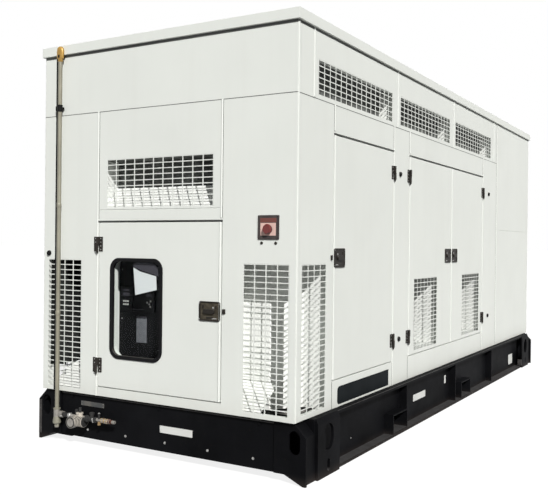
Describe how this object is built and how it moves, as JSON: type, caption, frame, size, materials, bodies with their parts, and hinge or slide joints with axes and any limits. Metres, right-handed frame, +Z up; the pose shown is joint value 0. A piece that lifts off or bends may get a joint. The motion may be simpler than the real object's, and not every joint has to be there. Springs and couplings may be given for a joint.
{
  "type": "containerised gas generator",
  "caption": "Sound-attenuated white steel generator enclosure with hinged service doors and air grilles on a black lifting skid.",
  "frame": {"origin": "on the ground at the middle of the whole object's box", "axes": "+Z up, +X along the length from the control end to the plain end, +Y across, away from the side with the service doors"},
  "size_m": [6.956, 2.55, 3.255],
  "materials": {
    "body_paint": "off-white semi-gloss powder coat",
    "grille_paint": "off-white punched sheet",
    "baffle_sheet": "off-white sheet metal",
    "skid_paint": "black satin paint",
    "deck_plate": "dark grey paint",
    "dark_fittings": "dark bronze-black cast zinc",
    "black_rubber": "matt black rubber",
    "window_glass": "clear glass",
    "cabinet_black": "black textured paint",
    "stop_plate": "grey plastic",
    "stop_red": "red plastic",
    "pipe_metal": "dull galvanised pipe",
    "strap_metal": "aged yellow zinc",
    "gas_metal": "weathered cast metal"
  },
  "bodies": {
    "enclosure": {"rails": "skid_paint", "end_crossmembers": "skid_paint", "floor_beams": "skid_paint", "deck": "deck_plate", "fork_pockets": "skid_paint", "corner_boxes": "skid_paint", "lifting_plates": "skid_paint", "front_panels": "body_paint", "front_header": "body_paint", "front_sill": "body_paint", "front_band": "body_paint", "front_grilles": "grille_paint", "right_corner_panel": "body_paint", "right_mid_post": "body_paint", "right_rear_post": "body_paint", "right_headers": "body_paint", "right_sills": "body_paint", "right_sill_cover": "skid_paint", "right_band": "body_paint", "right_grilles": "grille_paint", "right_rear_panel": "body_paint", "left_wall": "body_paint", "left_doors": "body_paint", "left_grilles": "grille_paint", "left_door_grilles": "grille_paint", "left_hinges": "dark_fittings", "left_latches": "body_paint", "rear_wall": "body_paint", "roof_panel": "body_paint", "roof_trim": "body_paint", "corner_baffles": "baffle_sheet", "grille_baffles": "baffle_sheet", "control_cabinet": "cabinet_black", "drip_rails": "black_rubber", "hinge_plates": "dark_fittings", "door_buffers": "black_rubber", "stop_plate": "stop_plate", "stop_button": "stop_red", "vent_pipe": "pipe_metal", "pipe_clamps": "strap_metal", "gas_train": "gas_metal"},
    "control_door": {"control_door": "body_paint", "control_door_seal": "black_rubber", "control_door_glass": "window_glass", "control_door_latch": "dark_fittings", "control_door_hinges": "dark_fittings"},
    "side_door": {"side_door": "body_paint", "side_door_latch": "dark_fittings", "side_door_hinges": "dark_fittings"},
    "bay_door_front": {"bay_door_front": "body_paint", "bay_door_front_grille": "grille_paint", "bay_door_front_latch": "dark_fittings", "bay_door_front_hinges": "dark_fittings"},
    "bay_door_rear": {"bay_door_rear": "body_paint", "bay_door_rear_grille": "grille_paint", "bay_door_rear_latch": "dark_fittings", "bay_door_rear_hinges": "dark_fittings"}
  },
  "joints": [
    {"name": "control_door_hinge", "type": "hinge", "parent": "enclosure", "child": "control_door", "pos_m": [-3.408, 0.595, 0.43], "axis": [0, 0, -1], "range_deg": [0, 165]},
    {"name": "side_door_hinge", "type": "hinge", "parent": "enclosure", "child": "side_door", "pos_m": [-1.654, -1.216, 0.43], "axis": [0, 0, 1], "range_deg": [0, 95]},
    {"name": "bay_door_front_hinge", "type": "hinge", "parent": "enclosure", "child": "bay_door_front", "pos_m": [-1.277, -1.216, 0.43], "axis": [0, 0, -1], "range_deg": [0, 95]},
    {"name": "bay_door_rear_hinge", "type": "hinge", "parent": "enclosure", "child": "bay_door_rear", "pos_m": [1.128, -1.216, 0.43], "axis": [0, 0, 1], "range_deg": [0, 165]}
  ]
}
